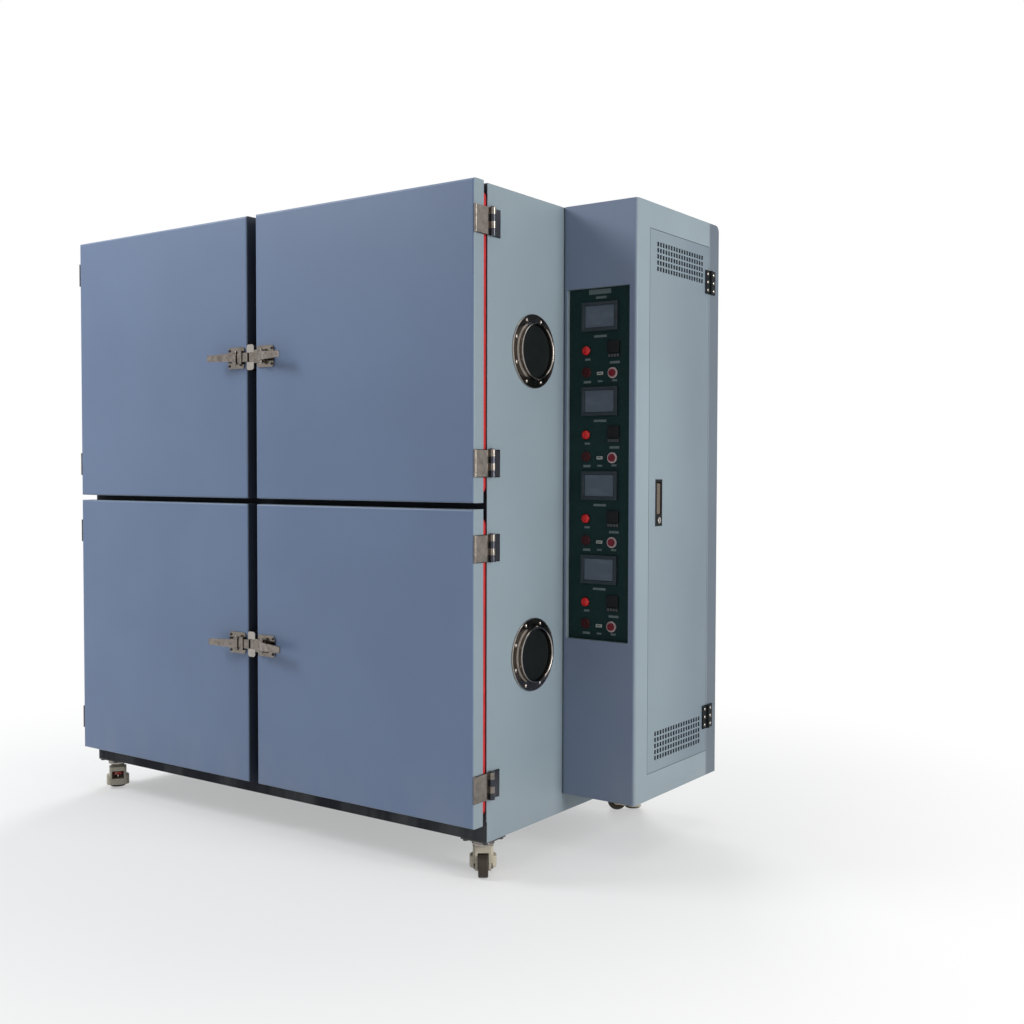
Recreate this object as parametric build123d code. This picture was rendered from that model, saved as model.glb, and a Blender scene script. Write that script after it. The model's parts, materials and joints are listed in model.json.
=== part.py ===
from build123d import *
import os
from math import cos, pi, radians, sin

os.makedirs("parts", exist_ok=True)

# Sheet metal and clearances
sheet = 2.0
liner_sheet = 1.5
seat_gap = 0.3
running_gap = 0.05
pack_gap = 0.6

# Insulated body
body_width = 1711.0
body_height = 1739.0
body_depth = 896.0
rear_flange = 25.0
chamber_width = 640.0
chamber_height = 640.0
chamber_depth = 700.0
chamber_corner = 15.0
back_insulation = 100.0

# Base frame and castors
castor_height = 104.0
base_height = 57.0
base_tube = 50.0
base_wall = 3.0
castor_plate = 90.0
castor_plate_thickness = 4.0
castor_bolt_spacing = 70.0
castor_bolt_radius = 8.0
castor_bolt_height = 5.0

# Doors
door_depth = 44.0
seal_gap = 17.0
door_gap_x = 38.0
door_gap_z = 17.0
door_drop = 7.0
door_rise = 4.0
door_fold = 6.0
plug_gap = 8.0
plug_reach = 28.0
gasket_width = 14.0
gasket_inset = 20.0
gasket_side_inset = 5.0
gasket_corner = 25.0

# Door hinges
hinge_height = 76.0
hinge_inset = 107.0
hinge_thickness = 6.0
hinge_leaf_round = 3.0
hinge_door_leaf = 63.0
hinge_body_leaf = 42.0
hinge_axis_behind_front = 11.5
knuckle_radius = 9.0
knuckle_count = 4
knuckle_gap = 0.4
hinge_pin_radius = 4.0
hinge_cap_radius = 6.0
hinge_cap_height = 2.5

# Door latches
latch_edge_inset = 9.0
latch_plate_width = 72.0
latch_plate_height = 66.0
latch_plate_thickness = 4.0
latch_plate_corner = 8.0
latch_block_width = 18.0
latch_block_depth = 12.0
latch_block_height = 40.0
latch_nose_reach = 15.0
latch_nose_thickness = 6.0
latch_nose_height = 28.0
latch_nose_clearance = 2.0
latch_pivot_inset = 28.0
latch_pivot_standoff = 17.0
latch_pin_radius = 3.0
latch_lug_thickness = 6.0
latch_lug_spread = 28.0
latch_lug_radius = 8.0
lever_knuckle_radius = 6.5
lever_reach = 96.0
lever_rise = 20.0
lever_bend_reach = 43.0
lever_bend_rise = 14.0
lever_thickness = 6.0
lever_height = 19.0
lever_root_height = 27.0
lever_tip_radius = 5.0
keeper_width = 31.0
keeper_height = 78.0
keeper_thickness = 6.0
keeper_front = 5.0
keeper_web = 8.0
keeper_foot_width = 34.0
keeper_foot_height = 92.0

# Side ports
port_depth = 220.0
port_upper_drop = 6.0
port_lower_rise = 10.0
port_bore_radius = 76.0
port_wall = 4.0
port_flange_radius = 105.0
port_flange_thickness = 3.0
port_stand_out = 18.0
port_plug_recess = 12.0
port_plug_length = 42.0
port_plug_edge = 1.5

# Control cabinet
control_width = 249.7
control_setback = 377.0
control_fold = 10.0
control_top_rear_radius = 20.0
recess_depth = 16.0
recess_left_margin = 12.5
recess_right_margin = 25.0
recess_top_margin = 243.0
recess_bottom_margin = 467.0
panel_thickness = 3.0
panel_flange = 6.0

# Panel devices, one group for each chamber
group_count = 4
group_pitch = 246.0
group_rise = 62.5
screen_width = 121.0
screen_height = 84.0
screen_proud = 7.0
screen_frame_x = 15.0
screen_frame_z = 12.0
screen_body_inset = 6.0
screen_body_depth = 30.0
display_thickness = 1.0
display_recess = 2.0
lamp_left = 46.5
lamp_drop = 97.5
lamp_radius = 15.0
lamp_proud = 10.0
lamp_round = 5.0
buzzer_drop = 161.0
buzzer_proud = 6.0
buzzer_round = 2.0
device_neck_radius = 11.0
device_neck_depth = 35.0
instrument_right = 46.0
instrument_drop = 90.0
instrument_width = 40.0
instrument_height = 34.0
instrument_proud = 6.0
instrument_body_inset = 3.0
counter_height = 12.0
counter_proud = 3.0
counter_gap = 2.0
socket_drop = 165.0
socket_width = 21.0
socket_height = 9.0
socket_proud = 3.0
button_right = 42.0
button_drop = 165.0
button_ring_radius = 16.0
button_ring_proud = 4.0
button_cap_radius = 10.4
button_cap_proud = 9.0
button_travel = 4.0
button_bore_depth = 25.0

# Service door of the control cabinet
service_front_margin = 72.0
service_rear_margin = 67.0
service_top_margin = 74.5
service_bottom_margin = 77.0
service_gap = 1.5
service_depth = 15.0
grille_end_inset = 76.0
grille_columns = 18
grille_rows = 5
grille_pitch_y = 16.6
grille_pitch_z = 17.9
grille_slot_width = 10.0
grille_slot_height = 13.0
service_hinge_height = 73.0
service_hinge_inset = 110.5
service_leaf = 32.0
service_leaf_thickness = 4.0
service_knuckle_radius = 5.0
service_pin_radius = 2.0
lock_front_inset = 60.0
lock_width = 38.5
lock_height = 137.0
lock_flange = 2.5
lock_rim = 2.0
lock_cup_depth = 16.0
lock_lever_width = 24.0
lock_lever_length = 92.0
lock_lever_depth = 8.0
lock_lever_gap = 1.5
lock_end_margin = 8.0
lock_pin_radius = 2.0
lock_key_radius = 8.0

# Inside the chambers
shelf_levels = (-105.0, 105.0)
shelf_depth = 560.0
shelf_front_gap = 36.0
shelf_side_gap = 6.0
shelf_thickness = 2.0
shelf_lip = 14.0
shelf_slot_rows = 3
shelf_slot_columns = 9
shelf_slot_length = 130.0
shelf_slot_width = 22.0
shelf_slot_pitch_x = 62.0
shelf_slot_pitch_y = 170.0
runner_width = 22.0
runner_height = 18.0
plenum_depth = 80.0
baffle_flange = 15.0
baffle_inlet_radius = 95.0
baffle_slot_width = 60.0
baffle_slot_height = 12.0
baffle_slot_rows = 8
baffle_slot_pitch = 64.0
baffle_slot_inset = 60.0
heater_radius = 6.0
heater_offset = 150.0
heater_half_length = 190.0
heater_stand_off = 30.0
impeller_radius = 92.0
impeller_plate = 2.0
impeller_blade_depth = 34.0
impeller_blade_thickness = 2.0
impeller_blades = 8
impeller_hub_radius = 20.0
impeller_behind_baffle = 12.0
shaft_radius = 8.0
shaft_hole_radius = 14.0
shaft_in_motor = 30.0
motor_radius = 55.0
motor_length = 76.0
motor_flange = 140.0
motor_flange_thickness = 6.0
vent_slots = 6
vent_slot_length = 120.0
vent_slot_height = 8.0
vent_slot_pitch = 20.0

# Electrical parts in the control cabinet
component_plate_margin_y = 85.0
component_plate_margin_z = 110.0
contactor_width = 60.0
contactor_height = 85.0
contactor_depth = 75.0
relay_width = 60.0
relay_height = 110.0
relay_depth = 60.0
breaker_width = 220.0
breaker_height = 80.0
breaker_depth = 65.0
component_gap = 45.0
gland_rise = 120.0
gland_neck_radius = 16.0
gland_bore_radius = 9.0
gland_nut_radius = 22.0
gland_hex_height = 11.0
gland_dome_radius = 18.0
gland_dome_height = 14.0
gland_inner_nut_height = 6.0

# Castor bodies, in the castor's own frame with the wheel towards -Y
castor_trail = 36.0
wheel_radius = 31.5
wheel_width = 28.0
wheel_round = 4.0
wheel_side_gap = 1.5
wheel_tread_gap = 3.0
axle_radius = 5.0
cheek_width = 44.0
cheek_radius = 13.0
cheek_setback = 8.0
cheek_rise = 10.0
neck_half_length = 22.0
race_radius = 31.0
race_height = 15.0
kingpin_radius = 10.0
kingpin_length = 4.0
column_width = 58.0
column_top = 76.0
column_corner = 8.0
housing_width = 76.0
housing_front = -1.0
housing_back = 42.0
housing_bottom = 14.0
housing_top = 48.0
housing_corner = 14.0
housing_round = 4.0
window_width = 40.0
window_low = 35.0
window_high = 62.0
adjuster_radius = 18.0
adjuster_height = 9.0
adjuster_centre = 17.0
adjuster_below_top = 9.0
stem_radius = 6.0
pad_radius = 25.0
pad_thickness = 6.0
pad_clearance = 8.0
castor_turns = {
    "front_right": 37.0,
    "front_left": -127.0,
    "rear_right": -55.0,
    "rear_left": 20.0,
}

# Levels and planes that follow from the sizes above; the doors' front is at y = 0
half_body = body_width / 2
base_bottom = castor_height
base_top = base_bottom + base_height
body_top = base_top + body_height
body_front = door_depth + seal_gap
body_back = body_front + body_depth
liner_front = body_front + sheet
liner_back = liner_front + chamber_depth
bulkhead_front = liner_back + back_insulation
bulkhead_back = bulkhead_front + sheet
baffle_front = liner_back - liner_sheet - plenum_depth
door_bottom = base_top - door_drop
door_top = body_top + door_rise
door_height = (door_top - door_bottom - door_gap_z) / 2
door_free_edge = door_gap_x / 2
door_width = half_body - door_free_edge
door_middle = door_free_edge + door_width / 2
levels = {
    "lower": door_bottom + door_height / 2,
    "upper": door_top - door_height / 2,
}
sides = {"left": -1, "right": 1}
hinge_x = half_body + seat_gap + knuckle_radius
hinge_y = body_front + hinge_axis_behind_front
latch_x = door_free_edge + latch_edge_inset
latch_pivot_x = latch_x + latch_pivot_inset
port_y = body_front + port_depth
port_z = {"lower": levels["lower"] + port_lower_rise, "upper": levels["upper"] - port_upper_drop}
control_right = half_body + control_width
control_front = body_front + control_setback
recess_left = half_body + recess_left_margin
recess_right = control_right - recess_right_margin
recess_low = base_top + recess_bottom_margin
recess_high = body_top - recess_top_margin
panel_front = control_front + recess_depth
panel_back = panel_front + panel_thickness
panel_x = (recess_left + recess_right) / 2
panel_z = (recess_low + recess_high) / 2
group_z = [panel_z + group_rise + group_pitch * ((group_count - 1) / 2 - k) for k in range(group_count)]
service_front = control_front + service_front_margin
service_rear = body_back - service_rear_margin
service_low = base_top + service_bottom_margin
service_high = body_top - service_top_margin
service_hinge_x = control_right + seat_gap + service_knuckle_radius
service_hinge_y = service_rear + service_knuckle_radius
lock_y = service_front + lock_front_inset
lock_z = (service_low + service_high) / 2
castor_x = half_body - castor_plate / 2
castor_front_y = body_front + castor_plate / 2
castor_rear_y = body_back - castor_plate / 2
castor_places = {
    "front_left": (-castor_x, castor_front_y),
    "front_right": (castor_x, castor_front_y),
    "rear_left": (-castor_x, castor_rear_y),
    "rear_right": (castor_x, castor_rear_y),
}


def around(middle, size):
    return (middle - size / 2, middle + size / 2)


def span(x, y, z):
    size = [high - low for low, high in (x, y, z)]
    middle = [(low + high) / 2 for low, high in (x, y, z)]
    return Pos(*middle) * Box(*size)


def rod_x(x, y, z, radius):
    return Pos((x[0] + x[1]) / 2, y, z) * Rot(0, 90, 0) * Cylinder(radius, x[1] - x[0])


def rod_y(x, y, z, radius):
    return Pos(x, (y[0] + y[1]) / 2, z) * Rot(90, 0, 0) * Cylinder(radius, y[1] - y[0])


def rod_z(x, y, z, radius):
    return Pos(x, y, (z[0] + z[1]) / 2) * Cylinder(radius, z[1] - z[0])


def rounded_along_y(x, y, z, radius):
    outline = RectangleRounded(x[1] - x[0], z[1] - z[0], radius)
    plate = extrude(Plane.XZ * outline, y[1] - y[0])
    return Pos((x[0] + x[1]) / 2, y[1], (z[0] + z[1]) / 2) * plate


def on_side(part, sign):
    return part if sign > 0 else mirror(part, about=Plane.YZ)


nodes = {}


def add(name, *parts):
    nodes[name] = Compound([solid for part in parts for solid in part.solids()])


def each_chamber():
    for level, z in levels.items():
        for side, sign in sides.items():
            yield level, side, sign, z


# Base frame: four tubes, a middle tube, the floor sheet and the castors' plates and bolts
def tube_along_y(x):
    y = (liner_front, body_back)
    z = (base_bottom, base_top)
    hollow = span((x[0] + base_wall, x[1] - base_wall), y, (z[0] + base_wall, z[1] - base_wall))
    return span(x, y, z) - hollow


def tube_along_x(y):
    x = (-half_body + base_tube, half_body - base_tube)
    z = (base_bottom, base_top)
    hollow = span(x, (y[0] + base_wall, y[1] - base_wall), (z[0] + base_wall, z[1] - base_wall))
    return span(x, y, z) - hollow


def castor_mount(x, y):
    z = (base_bottom - castor_plate_thickness, base_bottom)
    plate = span(around(x, castor_plate), around(y, castor_plate), z)
    plate -= rod_z(x, y, (z[0], z[0] + kingpin_length), kingpin_radius + running_gap)
    bolts = []
    for dx in (-1, 1):
        for dy in (-1, 1):
            place = Pos(x + dx * castor_bolt_spacing / 2, y + dy * castor_bolt_spacing / 2, z[0])
            bolts.append(place * extrude(RegularPolygon(castor_bolt_radius, 6), -castor_bolt_height))
    return [plate] + bolts


front_tube = (liner_front, liner_front + base_tube)
rear_tube = (body_back - base_tube, body_back)
middle_y = (front_tube[1] + rear_tube[0]) / 2
base_parts = [
    tube_along_y((half_body - base_tube, half_body)),
    tube_along_y((-half_body, -half_body + base_tube)),
    tube_along_x(front_tube),
    tube_along_x(rear_tube),
    tube_along_x(around(middle_y, base_tube)),
    span((-half_body + sheet, half_body - sheet), (liner_front, body_back - sheet), (base_top, base_top + sheet)),
]
for x, y in castor_places.values():
    base_parts += castor_mount(x, y)
add("base_frame", *base_parts)


# Outer casing
def side_panel():
    z = (base_top, body_top - sheet)
    y_end = body_back - sheet
    wall = span((half_body - sheet, half_body), (body_front, y_end), z)
    low = base_top + sheet
    flange = span((half_body - rear_flange, half_body), (y_end - sheet, y_end), (low, z[1]))
    return wall + flange


right_panel = side_panel()
for z in port_z.values():
    right_panel -= rod_x((half_body - sheet, half_body), port_y, z, port_bore_radius + port_wall + seat_gap)
add("left_side_panel", on_side(side_panel(), -1))
add("right_side_panel", right_panel)
add("top_panel", span((-half_body, half_body), (body_front, body_back), (body_top - sheet, body_top)))

back_cover = span((-half_body, half_body), (body_back - sheet, body_back), (base_top, body_top - sheet))
bulkhead = span((-half_body + sheet, half_body - sheet), (bulkhead_front, bulkhead_back),
                (base_top + sheet, body_top - sheet))
vent_cuts = Sketch()
for level, side, sign, z in each_chamber():
    bulkhead -= rod_y(sign * door_middle, (bulkhead_front, bulkhead_back), z, shaft_hole_radius)
    for k in range(vent_slots):
        rise = (k - (vent_slots - 1) / 2) * vent_slot_pitch
        vent_cuts += Pos(sign * door_middle, z + rise) * Rectangle(vent_slot_length, vent_slot_height)
back_cover -= Pos(0, body_back, 0) * extrude(Plane.XZ * vent_cuts, sheet)
add("back_panels", back_cover, bulkhead)

fascia = span((-half_body + sheet, half_body - sheet), (body_front, liner_front), (base_top, body_top - sheet))
fascia += span((-half_body, half_body), (body_front, liner_front), (base_bottom, base_top))
for level, side, sign, z in each_chamber():
    mouth_x = around(sign * door_middle, chamber_width)
    fascia -= rounded_along_y(mouth_x, (body_front, liner_front), around(z, chamber_height), chamber_corner)
add("front_fascia", fascia)


# Chambers: liners, shelves on their runners, air baffles and heaters
def chamber_liner(z, with_port):
    outer_x = around(door_middle, chamber_width + 2 * liner_sheet)
    outer_z = around(z, chamber_height + 2 * liner_sheet)
    liner = span(outer_x, (liner_front, liner_back), outer_z)
    inner_x = around(door_middle, chamber_width)
    liner -= span(inner_x, (liner_front, liner_back - liner_sheet), around(z, chamber_height))
    liner -= rod_y(door_middle, (liner_back - liner_sheet, liner_back), z, shaft_hole_radius)
    if with_port:
        middle = min(port_z.values(), key=lambda height: abs(height - z))
        liner -= rod_x((inner_x[1], outer_x[1]), port_y, middle, port_bore_radius + port_wall + seat_gap)
    return liner


def shelf_runner(z, wall_sign):
    wall = door_middle + wall_sign * chamber_width / 2
    inward = wall - wall_sign * runner_width
    skin = wall - wall_sign * liner_sheet
    y = (liner_front + shelf_front_gap, liner_front + shelf_front_gap + shelf_depth)
    ledge = span(sorted((wall, inward)), y, (z - liner_sheet, z))
    upright = span(sorted((wall, skin)), y, (z - runner_height, z))
    return ledge + upright


def shelf(z):
    x = around(door_middle, chamber_width - 2 * shelf_side_gap)
    y = (liner_front + shelf_front_gap, liner_front + shelf_front_gap + shelf_depth)
    inset = runner_width
    plate = span(x, y, (z, z + shelf_thickness))
    slots = Sketch()
    for column in range(shelf_slot_columns):
        for row in range(shelf_slot_rows):
            dx = (column - (shelf_slot_columns - 1) / 2) * shelf_slot_pitch_x
            dy = (row - (shelf_slot_rows - 1) / 2) * shelf_slot_pitch_y
            slots += Pos(door_middle + dx, (y[0] + y[1]) / 2 + dy) * Rectangle(shelf_slot_width, shelf_slot_length)
    plate -= Pos(0, 0, z) * extrude(slots, shelf_thickness)
    lip_x = (x[0] + inset, x[1] - inset)
    front_lip = span(lip_x, (y[0], y[0] + shelf_thickness), (z - shelf_lip, z))
    rear_lip = span(x, (y[1] - shelf_thickness, y[1]), (z + shelf_thickness, z + shelf_lip))
    return plate + front_lip + rear_lip


def air_baffle(z):
    x = around(door_middle, chamber_width - 2 * seat_gap)
    height = around(z, chamber_height - 2 * seat_gap)
    tray = span(x, (baffle_front, baffle_front + baffle_flange), height)
    tray -= span((x[0] + liner_sheet, x[1] - liner_sheet), (baffle_front + liner_sheet, baffle_front + baffle_flange),
                 (height[0] + liner_sheet, height[1] - liner_sheet))
    cuts = Sketch() + Pos(door_middle, z) * Circle(baffle_inlet_radius)
    for row in range(baffle_slot_rows):
        dz = (row - (baffle_slot_rows - 1) / 2) * baffle_slot_pitch
        for sign in (-1, 1):
            dx = sign * (chamber_width / 2 - baffle_slot_inset)
            cuts += Pos(door_middle + dx, z + dz) * Rectangle(baffle_slot_width, baffle_slot_height)
    return tray - Pos(0, baffle_front + liner_sheet, 0) * extrude(Plane.XZ * cuts, liner_sheet)


def heater(z, sign):
    x = door_middle + sign * heater_offset
    back = liner_back - liner_sheet
    y = back - heater_stand_off
    low = z - heater_half_length
    high = z + heater_half_length
    rod = rod_z(x, y, (low, high), heater_radius)
    for end in (low, high):
        rod += Pos(x, y, end) * Sphere(heater_radius)
        rod += rod_y(x, (y, back), end, heater_radius)
    return rod


liner_parts, shelf_parts, baffle_parts, heater_parts = [], [], [], []
for level, side, sign, z in each_chamber():
    liner_parts.append(on_side(chamber_liner(z, sign > 0), sign))
    baffle_parts.append(on_side(air_baffle(z), sign))
    for hand in (-1, 1):
        heater_parts.append(on_side(heater(z, hand), sign))
    for rise in shelf_levels:
        shelf_parts.append(on_side(shelf(z + rise), sign))
        for hand in (-1, 1):
            shelf_parts.append(on_side(shelf_runner(z + rise, hand), sign))
add("chamber_liners", *liner_parts)
add("shelves", *shelf_parts)
add("air_baffles", *baffle_parts)
add("heating_elements", *heater_parts)

# Fans: motors behind the bulkhead, impellers behind the baffles
impeller_front = baffle_front + impeller_behind_baffle
motor_parts = []
for level, side, sign, z in each_chamber():
    x = sign * door_middle
    flange_end = bulkhead_back + motor_flange_thickness
    motor = span(around(x, motor_flange), (bulkhead_back, flange_end), around(z, motor_flange))
    motor += rod_y(x, (bulkhead_back, bulkhead_back + motor_length), z, motor_radius)
    motor -= rod_y(x, (bulkhead_back, bulkhead_back + shaft_in_motor + seat_gap), z, shaft_radius + running_gap)
    motor_parts.append(motor)
    blades_end = impeller_front + impeller_blade_depth
    impeller = rod_y(x, (blades_end, blades_end + impeller_plate), z, impeller_radius)
    impeller += rod_y(x, (impeller_front, blades_end), z, impeller_hub_radius)
    blade = span((impeller_hub_radius - 1, impeller_radius), (impeller_front, blades_end),
                 around(0, impeller_blade_thickness))
    for k in range(impeller_blades):
        impeller += Pos(x, 0, z) * Rot(0, 360 / impeller_blades * k, 0) * blade
    impeller += rod_y(x, (blades_end, bulkhead_back + shaft_in_motor), z, shaft_radius)
    add(f"{level}_{side}_fan_impeller", impeller)
add("fan_motors", *motor_parts)

# Mineral wool between the casing and the liners
pack_x = half_body - sheet - pack_gap
insulation = span((-pack_x, pack_x), (liner_front + pack_gap, bulkhead_front - pack_gap),
                  (base_top + sheet + pack_gap, body_top - sheet - pack_gap))
for level, side, sign, z in each_chamber():
    x = sign * door_middle
    room = 2 * (liner_sheet + pack_gap)
    insulation -= span(around(x, chamber_width + room), (liner_front, liner_back + pack_gap),
                       around(z, chamber_height + room))
    insulation -= rod_y(x, (liner_back, bulkhead_front), z, shaft_hole_radius)
for z in port_z.values():
    insulation -= rod_x((door_middle + chamber_width / 2, half_body), port_y, z, port_bore_radius + port_wall + pack_gap)
add("insulation", insulation)


# Door seals on the fascia
def door_gasket(z):
    x = (door_free_edge + gasket_inset, half_body - gasket_side_inset)
    y = (door_depth + seat_gap, body_front)
    height = around(z, door_height - 2 * gasket_inset)
    ring = rounded_along_y(x, y, height, gasket_corner)
    inner_x = (x[0] + gasket_width, x[1] - gasket_width)
    inner_z = (height[0] + gasket_width, height[1] - gasket_width)
    return ring - rounded_along_y(inner_x, y, inner_z, gasket_corner - gasket_width)


add("door_gaskets", *[on_side(door_gasket(z), sign) for level, side, sign, z in each_chamber()])


# Doors: folded shell, inner panel with the plug that enters the chamber
def door_shell(z):
    x = (door_free_edge, half_body)
    height = around(z, door_height)
    outer = span(x, (0, door_depth), height)
    outer = fillet(outer.edges().group_by(Axis.Y)[0], door_fold)
    hollow = span((x[0] + sheet, x[1] - sheet), (sheet, door_depth), (height[0] + sheet, height[1] - sheet))
    hollow = fillet(hollow.edges().group_by(Axis.Y)[0], door_fold - sheet)
    return outer - hollow


def door_inner_panel(z):
    rim = sheet + seat_gap
    plate = span((door_free_edge + rim, half_body - rim), (door_depth - liner_sheet, door_depth),
                 around(z, door_height - 2 * rim))
    plug_x = around(door_middle, chamber_width - 2 * plug_gap)
    plug_z = around(z, chamber_height - 2 * plug_gap)
    plug_end = body_front + plug_reach
    panel = plate + rounded_along_y(plug_x, (door_depth - liner_sheet, plug_end), plug_z, chamber_corner)
    hollow_x = (plug_x[0] + liner_sheet, plug_x[1] - liner_sheet)
    hollow_z = (plug_z[0] + liner_sheet, plug_z[1] - liner_sheet)
    hollow_y = (door_depth - liner_sheet, plug_end - liner_sheet)
    return panel - rounded_along_y(hollow_x, hollow_y, hollow_z, chamber_corner - liner_sheet)


# Door hinges: the leaves interlock along one pin, which is fixed in the body's leaf
knuckle_pitch = hinge_height / knuckle_count


def knuckle_span(z, index):
    top = z + hinge_height / 2 - index * knuckle_pitch
    return (top - knuckle_pitch + knuckle_gap / 2, top - knuckle_gap / 2)


def hinge_leaf(z, y_end, own_first):
    x = (half_body + seat_gap, half_body + seat_gap + hinge_thickness)
    leaf = span(x, sorted((hinge_y, y_end)), around(z, hinge_height))
    outer_edges = leaf.edges().group_by(Axis.X)[-1]
    far_edge = outer_edges.filter_by(Axis.Z).sort_by(lambda edge: abs(edge.center().Y - hinge_y))[-1]
    leaf = fillet([far_edge] + outer_edges.filter_by(Axis.Y), hinge_leaf_round)
    clear = knuckle_radius + seat_gap
    for index in range(knuckle_count):
        zone = knuckle_span(z, index)
        if (index % 2 == 0) == own_first:
            leaf += rod_z(hinge_x, hinge_y, zone, knuckle_radius)
        else:
            cut = (zone[0] - knuckle_gap, zone[1] + knuckle_gap)
            leaf -= span((x[0] - 1, x[1] + 1), (hinge_y - clear, hinge_y + clear), cut)
    return leaf


def door_hinge_leaf(z):
    leaf = hinge_leaf(z, hinge_y - hinge_door_leaf - knuckle_radius + seat_gap, True)
    return leaf - rod_z(hinge_x, hinge_y, around(z, hinge_height), hinge_pin_radius + running_gap)


def body_hinge_leaf(z):
    leaf = hinge_leaf(z, hinge_y + hinge_body_leaf, False)
    top = z + hinge_height / 2
    leaf += rod_z(hinge_x, hinge_y, (z - hinge_height / 2, top + seat_gap), hinge_pin_radius)
    return leaf + rod_z(hinge_x, hinge_y, (top + seat_gap, top + seat_gap + hinge_cap_height), hinge_cap_radius)


def hinge_heights(z):
    offset = door_height / 2 - hinge_inset
    return (z + offset, z - offset)


body_leaves = []
for level, side, sign, z in each_chamber():
    for height in hinge_heights(z):
        body_leaves.append(on_side(body_hinge_leaf(height), sign))
add("body_hinge_leaves", *body_leaves)

# Door latches: plate, block, nose over the keeper, two lugs with the lever's pin
pivot_y = -latch_pivot_standoff


def latch_base(z):
    plate_y = -latch_plate_thickness
    plate = rounded_along_y((latch_x, latch_x + latch_plate_width), (plate_y, 0),
                            around(z, latch_plate_height), latch_plate_corner)
    block_x = (latch_x, latch_x + latch_block_width)
    nose_back = -keeper_front - latch_nose_clearance
    nose_front = nose_back - latch_nose_thickness
    block_y = (plate_y - latch_block_depth, plate_y)
    base = plate + span(block_x, block_y, around(z, latch_block_height))
    base += span((latch_x - latch_edge_inset - latch_nose_reach, latch_x), (nose_front, nose_back),
                 around(z, latch_nose_height))
    for sign in (-1, 1):
        lug_z = around(z + sign * (latch_lug_spread + latch_lug_thickness) / 2, latch_lug_thickness)
        base += span(around(latch_pivot_x, 2 * latch_lug_radius), (pivot_y, plate_y), lug_z)
        base += rod_z(latch_pivot_x, pivot_y, lug_z, latch_lug_radius)
    pin_length = latch_lug_spread + 2 * latch_lug_thickness + 4
    return base + rod_z(latch_pivot_x, pivot_y, around(z, pin_length), latch_pin_radius)


def latch_lever(z):
    tip_x = latch_pivot_x + lever_reach
    tip_y = pivot_y - lever_rise
    bend_x = latch_pivot_x + lever_bend_reach
    bend_y = pivot_y - lever_bend_rise
    half = lever_thickness / 2
    outline = Polyline(
        (latch_pivot_x, pivot_y + half),
        (bend_x, bend_y + half),
        (tip_x, tip_y + half),
        (tip_x, tip_y - half),
        (bend_x - half, bend_y - half),
        (latch_pivot_x, pivot_y - lever_knuckle_radius),
        close=True,
    )
    arm = Pos(0, 0, z - lever_root_height / 2) * extrude(make_face(outline), lever_root_height)
    taper = Polyline(
        (latch_pivot_x, 0, z - lever_root_height / 2),
        (latch_pivot_x, 0, z + lever_root_height / 2),
        (tip_x, 0, z + lever_height / 2),
        (tip_x, 0, z - lever_height / 2),
        close=True,
    )
    arm &= extrude(make_face(taper), lever_rise - pivot_y + lever_thickness, both=True)
    lever = arm + rod_z(latch_pivot_x, pivot_y, around(z, latch_lug_spread - 2 * seat_gap), lever_knuckle_radius)
    lever += rod_z(tip_x, tip_y, around(z, lever_height), lever_tip_radius)
    return lever - rod_z(latch_pivot_x, pivot_y, around(z, latch_lug_spread), latch_pin_radius + running_gap)


def latch_keeper(z):
    foot = span(around(0, keeper_foot_width), (body_front - latch_plate_thickness, body_front),
                around(z, keeper_foot_height))
    head_y = (-keeper_front, -keeper_front + keeper_thickness)
    head = rounded_along_y(around(0, keeper_width), head_y, around(z, keeper_height), latch_plate_corner)
    web = span(around(0, keeper_web), (head_y[1], body_front - latch_plate_thickness), around(z, keeper_height))
    return foot + web + head


add("latch_keepers", *[latch_keeper(z) for z in levels.values()])
for level, side, sign, z in each_chamber():
    name = f"{level}_{side}"
    add(f"{name}_door_shell", on_side(door_shell(z), sign))
    add(f"{name}_door_inner_panel", on_side(door_inner_panel(z), sign))
    leaves = [on_side(door_hinge_leaf(height), sign) for height in hinge_heights(z)]
    add(f"{name}_door_fittings", on_side(latch_base(z), sign), *leaves)
    add(f"{name}_latch_lever", on_side(latch_lever(z), sign))


# Side ports: flange, collar and sleeve turned in one piece, closed by a plug
def turned_about_x(points, y, z):
    section = make_face(Polyline(*[(x, 0, radius) for x, radius in points], close=True))
    return Pos(0, y, z) * revolve(section, Axis.X, 360)


port_outer_radius = port_bore_radius + port_wall
port_end = half_body + port_stand_out
sleeve_end = door_middle + chamber_width / 2
collar_points = [
    (sleeve_end, port_bore_radius),
    (port_end - port_wall / 2, port_bore_radius),
    (port_end, port_bore_radius + port_wall / 4),
    (port_end, port_outer_radius - port_wall / 4),
    (port_end - port_wall / 2, port_outer_radius),
    (half_body + port_flange_thickness + port_wall, port_outer_radius),
    (half_body + port_flange_thickness, port_outer_radius + port_wall),
    (half_body + port_flange_thickness, port_flange_radius - port_flange_thickness / 2),
    (half_body + port_flange_thickness / 2, port_flange_radius),
    (half_body, port_flange_radius),
    (half_body, port_outer_radius),
    (sleeve_end, port_outer_radius),
]
plug_face = port_end - port_plug_recess
plug_radius = port_bore_radius - seat_gap
plug_points = [
    (plug_face - port_plug_length, 0),
    (plug_face, 0),
    (plug_face, plug_radius - port_plug_edge),
    (plug_face - port_plug_edge, plug_radius),
    (plug_face - port_plug_length, plug_radius),
]
add("port_collars", *[turned_about_x(collar_points, port_y, z) for z in port_z.values()])
for level, z in port_z.items():
    add(f"{level}_port_plug", turned_about_x(plug_points, port_y, z))


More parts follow.
